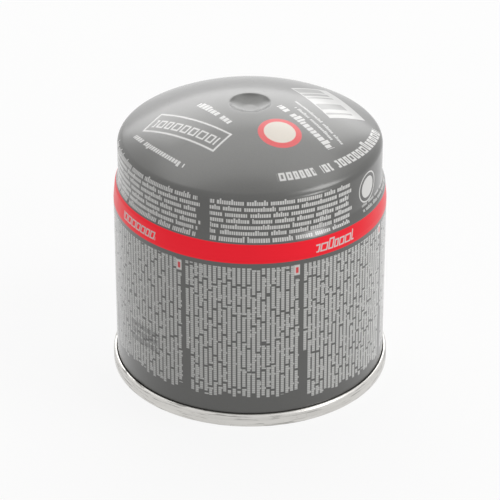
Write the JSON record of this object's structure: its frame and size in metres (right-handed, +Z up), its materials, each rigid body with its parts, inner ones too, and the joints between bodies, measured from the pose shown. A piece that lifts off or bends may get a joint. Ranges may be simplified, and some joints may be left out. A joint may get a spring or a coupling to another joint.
{
  "type": "fuel canister",
  "caption": "Sealed pierceable gas canister: drawn steel shell with a domed, dimpled top, a stepped wall with a painted band, and a rolled bottom seam it stands on.",
  "frame": {"origin": "centre of the seam's foot, on the surface that the canister stands on", "axes": "+Z up along the canister's axis of revolution; -Y is the side that the picture sees"},
  "size_m": [0.0904, 0.0904, 0.0932],
  "materials": {
    "lacquered_steel": "semi-gloss grey metallic lacquer with a red band and pale print, bare tinplate at the seam"
  },
  "bodies": {
    "root": {"fuel_canister": "lacquered_steel"}
  },
  "joints": []
}
